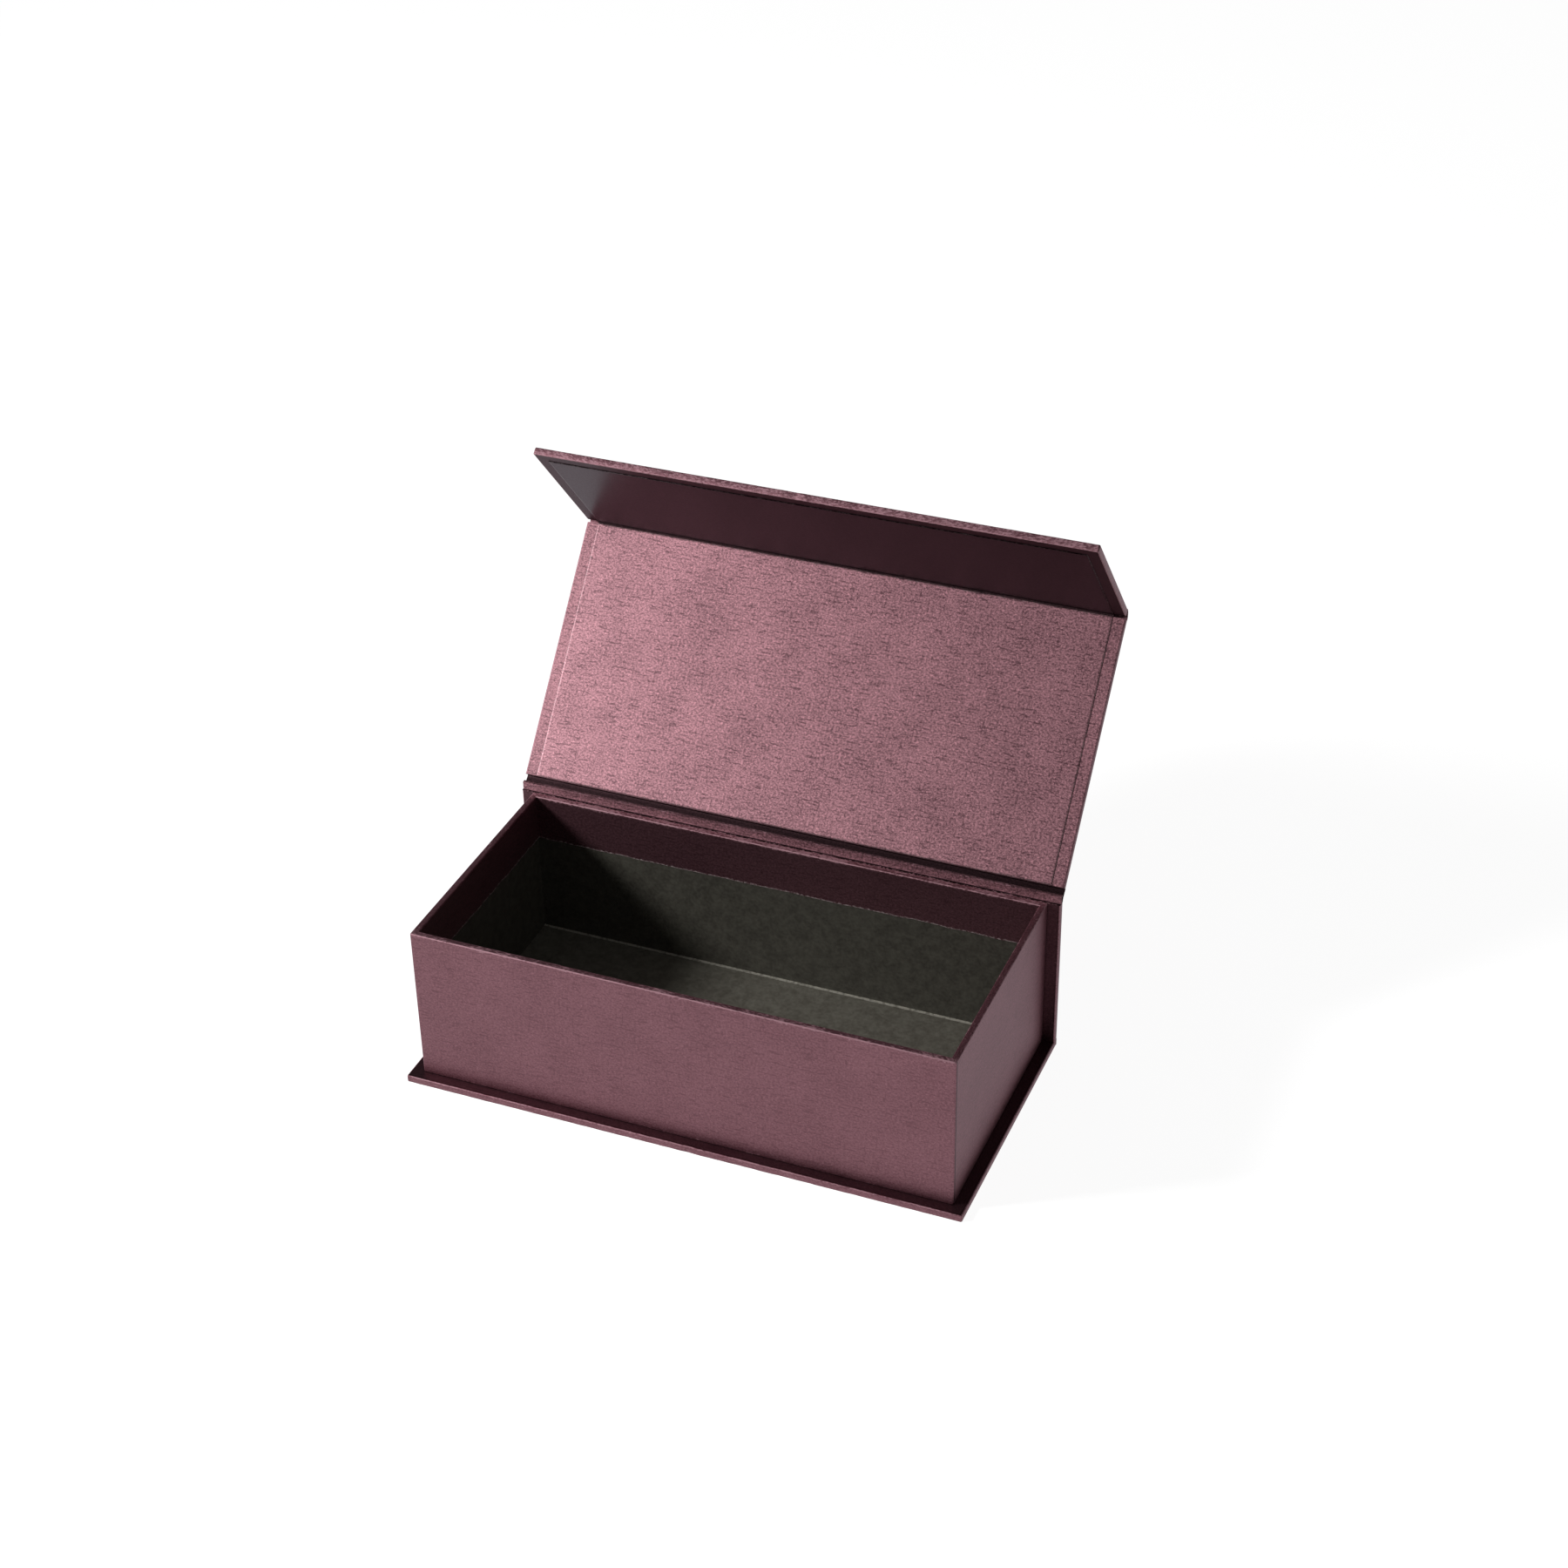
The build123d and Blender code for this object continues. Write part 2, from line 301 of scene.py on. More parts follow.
def cover_round_three_sides(name, length, place, sheet_start, sheet_way, worn, shade):
    """A covering sheet wrapped over both sides and the free end of a panel.

    Each row of the wrapped section is the panel's outline at that inset and height, so the
    turn-ins meet in a mitre at the corners. The free end is slightly wavy. Three flat faces
    close the sheet.
    """
    inset, height, unrolled, near_fold, near_cut, share = wrapped_section(worn).T
    flat = np.array([three_sided_path(case_width + 2 * u, length + u, 0.0) for u in unrolled])
    rows, columns = flat.shape[:2]
    rings = np.empty((rows, columns, 3))
    rings[..., :2] = [three_sided_path(case_width, length, d) for d in inset]
    rings[..., 2] = height[:, None]
    at_free_end = rings[..., 1] > length - 3.0 * mm
    rings[..., 1] += uneven(columns, free_edge_wave, seed=21, smooth=2) * at_free_end
    starts = [row * columns for row in range(rows)]
    ends = [row * columns + columns - 1 for row in range(rows)]
    faces = grid_faces(rows, columns) + end_faces(rows, columns) + [starts + ends[::-1]]
    sheet = np.stack((flat[..., 0], sheet_start + sheet_way * flat[..., 1]), axis=-1)
    marks = {"fold": near_fold, "cut": near_cut, "shade": shade * share}
    marks = {mark: np.repeat(values[:, None], columns, axis=1) for mark, values in marks.items()}
    return finish_piece(name, place(rings), faces, sheet, marks)


def cover_round_two_sides(name, length, place, sheet_start, worn, shade):
    """A covering sheet wrapped over both sides of a panel and open at both ends.

    Its section runs round one side, back inside the sheet, and is carried along the panel.
    """
    inset, height, unrolled, near_fold, near_cut, share = wrapped_section(worn).T
    half = case_width / 2
    left = np.column_stack((-half + inset, height, -half - unrolled))
    right = np.column_stack((half - inset, height, half + unrolled))
    loop = np.concatenate((left, right[::-1]))
    stations = np.linspace(0, length, panel_stations)
    rows, columns = len(stations), len(loop)
    points = np.empty((rows, columns, 3))
    points[..., 0] = loop[:, 0]
    points[..., 1] = stations[:, None]
    points[..., 2] = loop[:, 1]
    sheet = np.empty((rows, columns, 2))
    sheet[..., 0] = loop[:, 2]
    sheet[..., 1] = sheet_start + stations[:, None]
    marks = {"fold": near_fold, "cut": near_cut, "shade": shade * share}
    marks = {mark: np.tile(there_and_back(values), (rows, 1)) for mark, values in marks.items()}
    return finish_piece(name, place(points), tube_faces(rows, columns), sheet, marks)


# Liners of the lid and flap
def pasted_sheet(name, length, place, seed):
    """A thin liner pasted on a panel: a rectangle with slightly uneven cut edges.

    Rings go from the underside up the cut edge, over a small rounding and inwards. The edge at
    the panel's hinged end stays straight, where the next paper meets it. A level holds the ring's
    inset, height, nearness to the cut and painted shade, which darkens the cut edge.
    """
    levels = np.array(((0.0, 0.0, 0.6, 0.7), (0.0, -0.7 * paper, 0.9, 0.55), (0.12 * mm, -paper, 0.9, 0.15),
                       (0.7 * mm, -paper, 0.4, 0.0), (1.6 * mm, -paper, 0.0, 0.0)))
    steps = liner_side_points
    share = np.linspace(0, 1, steps, endpoint=False)[:, None]
    inwards = np.repeat(np.array(((0, 1), (-1, 0), (0, -1), (1, 0)), dtype=float), steps, axis=0)
    wobble = uneven(4 * steps, liner_edge_wave, seed)
    wobble[:steps + 1] = 0.0
    wobble[3 * steps:] *= np.linspace(1, 0, steps)
    rings = np.empty((len(levels), 4 * steps, 3))
    for ring, (inset, height, _, _) in zip(rings, levels):
        half, end = liner_width / 2 - inset, length - inset
        corners = np.array(((-half, inset), (half, inset), (half, end), (-half, end)))
        sides = np.roll(corners, -1, axis=0) - corners
        outline = (corners[:, None] + sides[:, None] * share).reshape(-1, 2)
        ring[:, :2] = outline + inwards * wobble[:, None]
        ring[:, 2] = height
    rows, columns = rings.shape[:2]
    marks = {"cut": levels[:, 2:3], "shade": levels[:, 3:4]}
    marks = {mark: np.repeat(values, columns, axis=1) for mark, values in marks.items()}
    return finish_piece(name, place(rings), tube_faces(rows, columns), rings[..., :2].copy(), marks)


# Bent papers across the hinges
def smooth_curve(start, end, start_way, end_way, steps=curve_points):
    """A cubic that leaves start along one way and reaches end along another (Hermite form)."""
    t = np.linspace(0, 1, steps)[:, None]
    reach = np.linalg.norm(end - start)
    a = (2 * t**3 - 3 * t**2 + 1) * start + (t**3 - 2 * t**2 + t) * start_way * reach
    return a + (3 * t**2 - 2 * t**3) * end + (t**3 - t**2) * end_way * reach


def across_width(name, width, loop, run, sheet_start, near_fold, ridge=0.0, seed=1, shade=0.0):
    """A closed section in Y and Z carried across the width.

    ridge is the height of fine ridges across it, which are largest near its two ends, where
    board edges gather the paper.
    """
    gathered, in_the_middle = 6.0 * mm, 0.25
    across = np.linspace(-width / 2, width / 2, width_points)
    rows, columns = len(across), len(loop)
    points = np.empty((rows, columns, 3))
    points[..., 0] = across[:, None]
    points[..., 1] = loop[:, 0]
    points[..., 2] = loop[:, 1]
    near_end = np.exp(-((width / 2 - np.abs(across)) / gathered) ** 2)
    ridges = uneven(rows, 1.0, seed, smooth=3) * (in_the_middle + near_end)
    points[..., 2] += ridge * ridges[:, None] * np.sin(np.pi * run / run.max()) ** 2
    sheet = np.empty((rows, columns, 2))
    sheet[..., 0] = across[:, None]
    sheet[..., 1] = sheet_start + run
    marks = {"fold": near_fold, "shade": shade}
    marks = {mark: np.broadcast_to(values, (rows, columns)) for mark, values in marks.items()}
    return finish_piece(name, points, tube_faces(rows, columns), sheet, marks)


def bent_strip(name, width, line, side, sheet_start, near_fold, ridge=0.0, seed=1, shade=0.0):
    """Paper along a line in Y and Z, with its thickness on the side given as 1 or -1.

    The other face is the line moved by one paper's thickness square to its way.
    """
    steps = np.diff(line, axis=0)
    way = np.vstack((steps[:1], steps[1:] + steps[:-1], steps[-1:]))
    way /= np.linalg.norm(way, axis=1)[:, None]
    normal = side * np.stack((way[:, 1], -way[:, 0]), axis=-1)
    loop = np.concatenate((line, (line + normal * paper)[::-1]))
    run = there_and_back(run_along(line))
    near_fold = there_and_back(near_fold)
    shade = there_and_back(np.broadcast_to(shade, len(line)))
    return across_width(name, width, loop, run, sheet_start, near_fold, ridge, seed, shade)


def marks_along(first, middle, last):
    """Marks along a curve that change evenly from its first point to its middle and its last."""
    return np.interp(np.linspace(0, 1, curve_points), (0, 0.5, 1), (first, middle, last))


def heel_paper():
    """The covering sheet where it turns up from the base to the spine, over a small quarter circle."""
    arc = np.array([(case_back - heel_round + heel_round * np.cos(a), heel_round + heel_round * np.sin(a))
                    for a in arc_angles(-90, 0)])
    loop = np.vstack(((case_back - paper, 0.0), arc, (case_back, panel), (case_back - paper, panel)))
    run = np.array([0.0] + list(arc[:, 1]) + [panel, panel])
    return across_width("base_heel_paper", case_width, loop, run, 0.0, near_fold=0.4)


def lid_hinge_outer_paper():
    """The covering sheet from the top of the spine to the lid: one smooth curve outside the hinge."""
    start = np.array((case_back, rim - paper))
    line = smooth_curve(start, yz(on_lid, 0, panel), np.array((0.0, 1.0)), way_of(on_lid))
    return bent_strip("lid_hinge_outer_paper", case_width, line, -1, spine_start + spine_length,
                      marks_along(0.3, 0.1, 0.3), lid_hinge_ridges, seed=5)


def lid_hinge_inner_paper():
    """The joint paper: a lip over the spine's raised edge, a groove, and up the lid's lower edge.

    A row of the lip holds its place in Y and Z, the nearness to a fold and the painted light and shade.
    """
    lip_inner, lip_outer, lip_top = spine_inner + 1.0 * mm, spine_outer - 0.15 * mm, rim + 3.3 * mm
    bend, half_bend, lip_worn = 0.35 * mm, 0.1 * mm, 0.55
    # Painted light on the lip's face; painted shade at its foot and down its back
    lip = np.array((
        (spine_inner, rim, 0.8, painted_deep_shade), (lip_inner - 0.2 * mm, rim, 0.0, painted_deep_shade),
        (lip_inner, rim + 0.25 * mm, 0.0, painted_light_mark), (lip_inner, lip_top - bend, 0.0, painted_light_mark),
        (lip_inner + half_bend, lip_top - half_bend, lip_worn, painted_light_mark),
        (lip_inner + bend, lip_top, lip_worn, painted_light_mark), (lip_outer - bend, lip_top, lip_worn, painted_light_mark),
        (lip_outer - half_bend, lip_top - half_bend, 0.0, painted_light_mark),
        (lip_outer, lip_top - 0.4 * mm, 0.0, painted_deep_shade)))
    # Painted shade down into the groove and up the lid's lower edge
    groove = np.array((spine_outer + 0.35 * mm, rim + 1.6 * mm))
    lid_foot = yz(on_lid, -0.45 * mm, panel - 2 * paper)
    climb = smooth_curve(groove, lid_foot, way_of(on_lid), way_of(on_lid), joint_curve_points)
    lid_edge = [yz(on_lid, -paper, z) for z in (panel - 2.6 * paper, 0.5 * panel, 0.05 * mm)]
    line = np.vstack((lip[:, :2], climb, lid_edge))
    near_fold = np.concatenate((lip[:, 2], np.zeros(len(climb) + len(lid_edge))))
    shade = np.concatenate((lip[:, 3], np.full(len(climb), painted_deep_shade), np.full(len(lid_edge), 0.7)))
    return bent_strip("lid_hinge_inner_paper", case_width, line, 1, 0.0, near_fold, seed=6, shade=shade)


def flap_hinge_paper(name, width, height, side, sheet_start, near_fold, seed, shade=0.0):
    """Paper across the flap's fold: one smooth curve from the lid to the flap at one height."""
    start, end = yz(on_lid, lid_length, height), yz(on_flap, 0, height)
    line = smooth_curve(start, end, way_of(on_lid), way_of(on_flap))
    return bent_strip(name, width, line, side, sheet_start, near_fold, flap_hinge_ridges, seed, shade)


# Covering sheet of the tray
def tray_outline(inset):
    """The tray's plan moved inwards by inset: four straight sides and four arcs, anticlockwise.

    Two points close past each corner leave room for the seam where the sheet's ends overlap.
    """
    seam_edges = np.array((0.5 * mm, 0.85 * mm))
    r = max(corner_round - inset, 0.0)
    left, right = -tray_width / 2 + inset, tray_width / 2 - inset
    front, back = tray_front + inset, tray_back - inset
    centres = ((left + r, front + r), (right - r, front + r), (right - r, back - r), (left + r, back - r))
    arcs = []
    for (x, y), start in zip(centres, (180, 270, 0, 90)):
        a = arc_angles(start, start + 90, corner_points)
        arcs.append(np.stack((x + r * np.cos(a), y + r * np.sin(a)), axis=-1))
    points = []
    for arc, next_arc in zip(arcs, arcs[1:] + arcs[:1]):
        side = next_arc[0] - arc[-1]
        near = seam_edges / np.linalg.norm(side)
        share = np.concatenate((near, np.linspace(0, 1, tray_side_points)[1:-1]))
        points += [arc, arc[-1] + side * share[:, None]]
    return np.concatenate(points)


def tray_wrap_section():
    """The section of the tray's sheet: in under the floor, up the wall, over the rim and down inside.

    Its three folds are quarter circles of edge_round. A row holds the inset from the tray's plan,
    the height, the nearness to a fold, the nearness to a cut edge and how far it follows the torn
    cut. The last three rows run back inside the sheet.
    """
    r, inner, cut_edge = edge_round, wall_inset, rim - rim_turn_in
    near_fold, past_fold, hidden_top = rim - 1.0 * mm, rim - 2.4 * mm, rim - paper - 0.2 * mm
    rows = [(bottom_turn_in, tray_bottom + paper, 0.0, 0.0, 0.0),
            (bottom_turn_in, tray_bottom, 0.0, 0.0, 0.0)]
    for a in arc_angles(-90, 0):
        rows.append((r - r * np.cos(a), tray_bottom + r + r * np.sin(a), 0.5, 0.0, 0.0))
    rows += [(0.0, tray_bottom + 1.6 * mm, 0.0, 0.0, 0.0), (0.0, past_fold, 0.0, 0.0, 0.0),
             (0.0, near_fold, 0.35, 0.0, 0.0)]
    for a in arc_angles(0, 90):
        d, z = r - r * np.cos(a), rim - r + r * np.sin(a)
        rows.append((d, z, 0.4 + 0.65 * np.sin(2 * a), 0.0, 0.0))
    for a in arc_angles(90, 0):
        d, z = inner - r + r * np.cos(a), rim - r + r * np.sin(a)
        rows.append((d, z, 0.3 + 0.3 * np.sin(2 * a), 0.0, 0.0))
    rows += [(inner, near_fold, 0.35, 0.0, 0.0), (inner, past_fold, 0.0, 0.0, 0.0),
             (inner, cut_edge + 1.5 * mm, 0.0, 0.0, 0.2), (inner, cut_edge + 0.6 * mm, 0.0, 0.7, 1.0),
             (inner, cut_edge, 0.0, 1.0, 1.0), (inner - paper, cut_edge, 0.0, 1.0, 1.0),
             (inner - paper, hidden_top, 0.0, 0.0, 0.0), (paper, hidden_top, 0.0, 0.0, 0.0),
             (paper, tray_bottom + paper, 0.0, 0.0, 0.0)]
    return np.array(rows)


def tray_wrap_paper():
    """The sheet round the tray: each row of its section is the tray's plan at that inset and height.

    The inner turn-in's cut edge follows a seeded random line, and the turn-in gets painted shade.
    The rim gets more flecks along the back and front walls, and two corners get painted shade at the seam.
    """
    back_rim_flecks, front_rim_flecks, turn_in_shade, hair = 0.45, 0.3, 0.2, 0.01 * mm
    section = tray_wrap_section()
    inset, height, near_fold, near_cut, torn = section[:, :, None].transpose(1, 0, 2)
    outline = tray_outline(0.0)
    rows, columns = len(section), len(outline)
    rings = np.empty((rows, columns, 3))
    rings[..., :2] = [tray_outline(d) for d in section[:, 0]]
    rings[..., 2] = height + torn * uneven(columns, turn_in_tear, seed=11, smooth=2)
    sheet = np.empty((rows, columns, 2))
    sheet[..., 0] = run_along(outline)
    sheet[..., 1] = run_along(section[:, :2])[:, None]
    on_rim = rings[..., 2] > rim - 0.5 * mm
    at_back, at_front = rings[..., 1] > tray_back - 3 * mm, rings[..., 1] < tray_front + 3 * mm
    worn = near_fold + on_rim * (back_rim_flecks * at_back + front_rim_flecks * at_front)
    inside = (inset >= wall_inset - hair) & (height < rim - 0.9 * mm)
    outside = (inset < hair) & (height > tray_bottom + 1.0 * mm)
    # Painted shade on the turn-in inside the tray
    shade = turn_in_shade * np.repeat(inside, columns, axis=1)
    # Painted shade in the seam just past two corners, where the sheet's ends overlap
    for corner in (1, 3):
        seam = corner * columns // 4 + corner_points - 1
        shade[:, seam:seam + 2] += painted_deep_shade * outside
    faces = [face[::-1] for face in grid_faces(rows, columns, close_rows=True, close_columns=True)]
    marks = {"fold": worn, "cut": np.repeat(near_cut, columns, axis=1), "shade": shade}
    return finish_piece("tray_wrap_paper", rings, faces, sheet, marks)


# Pieces of paper
# Shade marks paint shade on the turn-ins of the base, spine and flap, and paint light on the lid's turn-ins
# in the liner's colours
base_cover = cover_round_three_sides("base_cover_paper", base_length, on_base, 0.0, -1.0,
                                     worn=0.35, shade=0.75)
spine_cover = cover_round_two_sides("spine_cover_paper", spine_length, on_spine, spine_start,
                                    worn=0.4, shade=0.7)
lid_cover = cover_round_two_sides("lid_cover_paper", lid_length, on_lid, lid_start, worn=0.5, shade=painted_light_mark)
flap_cover = cover_round_three_sides("flap_cover_paper", flap_length, on_flap, flap_start, 1.0,
                                     worn=0.75, shade=0.95)
lid_liner = pasted_sheet("lid_liner_paper", lid_length, on_lid, seed=3)
flap_liner = pasted_sheet("flap_liner_paper", flap_length - liner_inset, on_flap, seed=4)
tray_wrap = tray_wrap_paper()
heel = heel_paper()
hinge_outer = lid_hinge_outer_paper()
hinge_inner = lid_hinge_inner_paper()
fold_outer = flap_hinge_paper("flap_hinge_outer_paper", case_width, panel, -1, lid_start + lid_length,
                              marks_along(0.2, 0.9, 0.2), seed=7)
# Painted shade all along the inner paper of the flap's fold
fold_inner = flap_hinge_paper("flap_hinge_inner_paper", liner_width, 0.0, 1, 0.0,
                              np.zeros(curve_points), seed=8, shade=painted_deep_shade)


# Shader nodes
def feed(tree, socket, source):
    """Joins a socket to a node's output, or fills it with a value."""
    if isinstance(source, bpy.types.NodeSocket):
        tree.links.new(source, socket)
    else:
        socket.default_value = source


def add(tree, kind, sockets=None, **settings):
    """Adds a node, sets it and joins or fills the sockets named."""
    made = tree.nodes.new(kind)
    for setting, value in settings.items():
        setattr(made, setting, value)
    for socket, source in (sockets or {}).items():
        feed(tree, made.inputs[socket], source)
    return made


def math(tree, operation, a, b=0.0, c=0.0, clamp=False):
    return add(tree, "ShaderNodeMath", {0: a, 1: b, 2: c}, operation=operation, use_clamp=clamp).outputs[0]


def stretch(tree, place, x, y):
    """A place multiplied by one number along the sheet's X and another along its Y."""
    return add(tree, "ShaderNodeVectorMath", {0: place, 1: (x, y, 1.0)}, operation="MULTIPLY").outputs[0]


def scale(tree, vector, by):
    return add(tree, "ShaderNodeVectorMath", {0: vector, "Scale": by}, operation="SCALE").outputs[0]


def noise(tree, place, fineness=1.0, detail=2.0, rough=0.5):
    sockets = {"Vector": place, "Scale": fineness, "Detail": detail, "Roughness": rough}
    return add(tree, "ShaderNodeTexNoise", sockets).outputs["Fac"]


def ramp(tree, value, low, high):
    """0 below low and 1 above high, with a smooth step between them."""
    sockets = {"Value": value, "From Min": low, "From Max": high}
    return add(tree, "ShaderNodeMapRange", sockets, interpolation_type="SMOOTHSTEP").outputs[0]


def blend_colour(tree, share, a, b):
    return add(tree, "ShaderNodeMix", {0: share, 6: a, 7: b}, data_type="RGBA").outputs[2]


def use_group(tree, group, sockets):
    return add(tree, "ShaderNodeGroup", sockets, node_tree=group).outputs


def start_group(name, inputs, outputs):
    """An empty group with its inputs, by label and first value, and its number outputs."""
    group = bpy.data.node_groups.new(name, "ShaderNodeTree")
    group.interface.new_socket("Place", in_out="INPUT", socket_type="NodeSocketVector")
    for label, value in inputs.items():
        socket = group.interface.new_socket(label, in_out="INPUT", socket_type="NodeSocketFloat")
        socket.default_value = value
    for label in outputs:
        group.interface.new_socket(label, in_out="OUTPUT", socket_type="NodeSocketFloat")
    given = group.nodes.new("NodeGroupInput")
    result = group.nodes.new("NodeGroupOutput")
    return group, given.outputs, result.inputs


def linen_weave_group():
    """Embossed linen paper: crossing threads, fine specks, pearl points and dark slubs both ways.

    The threads are the higher of two noises, each drawn out ten times along its own way.
    """
    group, given, result = start_group("linen weave", {"Threads": 1700.0, "Specks": 1300.0},
                                       ["Height", "Speck", "Pearl", "Slub"])
    threads = scale(group, given["Place"], given["Threads"])
    warp = noise(group, stretch(group, threads, 1.0, 0.10), detail=1.5)
    weft = noise(group, stretch(group, threads, 0.10, 1.0), detail=1.5)
    grain = scale(group, given["Place"], given["Specks"])
    grains = noise(group, stretch(group, grain, 0.8, 1.0), detail=3.0, rough=0.8)
    pearls = noise(group, stretch(group, grain, 0.7, -0.8), detail=1.0, rough=0.6)
    across = noise(group, stretch(group, given["Place"], 150.0, 1050.0), detail=1.0)
    along = noise(group, stretch(group, given["Place"], 950.0, 150.0), detail=1.0)
    slub = math(group, "MAXIMUM", ramp(group, across, 0.57, 0.69), ramp(group, along, 0.64, 0.76))
    group.links.new(math(group, "MAXIMUM", warp, weft), result["Height"])
    group.links.new(ramp(group, grains, 0.36, 0.64), result["Speck"])
    group.links.new(ramp(group, pearls, 0.62, 0.72), result["Pearl"])
    group.links.new(slub, result["Slub"])
    return group


def worn_fold_group():
    """Rubbed flecks on a fold and frayed fibres at a cut edge, from the piece's own marks.

    Noise about its middle is added to each mark, and a ramp turns the sum into flecks.
    """
    group, given, result = start_group("worn fold", {"Fold": 0.0, "Cut": 0.0, "Amount": 0.8},
                                       ["Rubbed", "Frayed"])
    fine = noise(group, stretch(group, given["Place"], 0.5, 1.0), fineness=1300.0, detail=2.0, rough=0.7)
    patch = noise(group, given["Place"], fineness=90.0, detail=3.0)
    fine = math(group, "SUBTRACT", fine, 0.5)
    patch = math(group, "SUBTRACT", patch, 0.5)
    uneven_fold = math(group, "MULTIPLY_ADD", fine, 2.4, given["Fold"])
    uneven_fold = math(group, "MULTIPLY_ADD", patch, 1.2, uneven_fold)
    uneven_cut = math(group, "MULTIPLY_ADD", fine, 1.6, given["Cut"])
    rubbed = math(group, "MULTIPLY", ramp(group, uneven_fold, 0.62, 1.05), given["Amount"])
    frayed = math(group, "MULTIPLY", ramp(group, uneven_cut, 0.7, 1.0), given["Amount"])
    group.links.new(rubbed, result["Rubbed"])
    group.links.new(frayed, result["Frayed"])
    return group


def mottle_group():
    """Soft cloudy patches with a fine grain, for papers, boards and metal."""
    group, given, result = start_group("mottle", {"Patches": 120.0, "Grain": 2200.0}, ["Patch", "Fleck"])
    patches = noise(group, given["Place"], given["Patches"], detail=4.0, rough=0.6)
    flecks = noise(group, given["Place"], given["Grain"], detail=1.0, rough=0.6)
    group.links.new(ramp(group, patches, 0.3, 0.7), result["Patch"])
    group.links.new(ramp(group, flecks, 0.3, 0.7), result["Fleck"])
    return group


weave = linen_weave_group()
wear = worn_fold_group()
mottle = mottle_group()

# Colours: linen papers as light threads over a dark ground, then their bare fibres
cover_light = (0.43, 0.20, 0.24, 1.0)
cover_dark = (0.22, 0.09, 0.112, 1.0)
# The liner's colours are the cover's linen paper made lighter: painted light
liner_light = (0.75, 0.375, 0.43, 1.0)
liner_dark = (0.155, 0.067, 0.083, 1.0)
# The flap liner's colours are the same linen paper made near-black: painted shade on the flap's inner face
flap_painted_shade_light = (0.03, 0.014, 0.018, 1.0)
flap_painted_shade_dark = (0.014, 0.007, 0.009, 1.0)
rubbed_fibre = (0.67, 0.38, 0.435, 1.0)
frayed_fibre = (0.55, 0.46, 0.46, 1.0)
crease_rub = (0.46, 0.44, 0.38, 1.0)


# Materials
def start_material(name):
    material = bpy.data.materials.new(name)
    material.use_nodes = True
    tree = material.node_tree
    return material, tree, tree.nodes["Principled BSDF"].inputs


def emboss(tree, surface, height, strength, depth):
    """Raises the surface by a height through a Bump node."""
    bump = add(tree, "ShaderNodeBump", {"Strength": strength, "Distance": depth, "Height": height})
    tree.links.new(bump.outputs[0], surface["Normal"])


def linen_paper(name, light, dark, roughness, worn_share, gloss, metallic=0.88):
    """Pearl linen covering paper: dark ground, lighter specks, rubbed folds and frayed cuts.

    The tone is a weighted sum of specks, pearl points, clouds and slubs. A shade mark below zero
    paints light with the liner's lighter colours, and one above zero paints shade by darkening the paper.
    """
    speck_share, pearl_share, cloud_share, slub_share = 0.70, 0.5, 0.16, -0.32
    shade_depth, least_lit = -0.88, 0.12
    material, tree, surface = start_material(name)
    place = add(tree, "ShaderNodeUVMap", uv_map="sheet").outputs[0]
    fold_mark = add(tree, "ShaderNodeAttribute", attribute_name="fold").outputs["Fac"]
    cut_mark = add(tree, "ShaderNodeAttribute", attribute_name="cut").outputs["Fac"]
    shade_mark = add(tree, "ShaderNodeAttribute", attribute_name="shade").outputs["Fac"]
    threads = use_group(tree, weave, {"Place": place})
    marks = use_group(tree, wear, {"Place": place, "Fold": fold_mark, "Cut": cut_mark, "Amount": worn_share})
    clouds = use_group(tree, mottle, {"Place": place, "Patches": 45.0})
    tone = math(tree, "MULTIPLY", threads["Speck"], speck_share)
    tone = math(tree, "MULTIPLY_ADD", threads["Slub"], slub_share, tone)
    tone = math(tree, "MULTIPLY_ADD", threads["Pearl"], pearl_share, tone)
    tone = math(tree, "MULTIPLY_ADD", clouds["Patch"], cloud_share, tone)
    tone = math(tree, "MAXIMUM", tone, 0.0)
    # Painted light from marks below zero, painted shade from marks above zero
    bright_share = math(tree, "MULTIPLY", shade_mark, -1.0, clamp=True)
    ground = blend_colour(tree, tone, dark, light)
    ground = blend_colour(tree, bright_share, ground, blend_colour(tree, tone, liner_dark, liner_light))
    lit = math(tree, "MAXIMUM", math(tree, "MULTIPLY_ADD", shade_mark, shade_depth, 1.0), least_lit)
    lit = math(tree, "MINIMUM", lit, 1.0)
    worn = blend_colour(tree, marks["Rubbed"], scale(tree, ground, lit), rubbed_fibre)
    tree.links.new(blend_colour(tree, marks["Frayed"], worn, frayed_fibre), surface["Base Color"])
    bare = math(tree, "MAXIMUM", math(tree, "MULTIPLY", marks["Rubbed"], 0.6), marks["Frayed"])
    tree.links.new(math(tree, "MULTIPLY_ADD", bare, -metallic, metallic), surface["Metallic"])
    rough = math(tree, "MULTIPLY_ADD", threads["Speck"], 0.08, roughness)
    rough = math(tree, "MULTIPLY_ADD", shade_mark, -0.08, rough)
    tree.links.new(math(tree, "MULTIPLY_ADD", marks["Rubbed"], 0.15, rough), surface["Roughness"])
    surface["Specular Tint"].default_value = (1.0, 0.91, 0.97, 1.0)
    tree.links.new(math(tree, "MULTIPLY", lit, gloss, clamp=True), surface["Coat Weight"])
    surface["Coat Roughness"].default_value = 0.4
    emboss(tree, surface, threads["Height"], strength=0.35, depth=0.08 * mm)
    return material


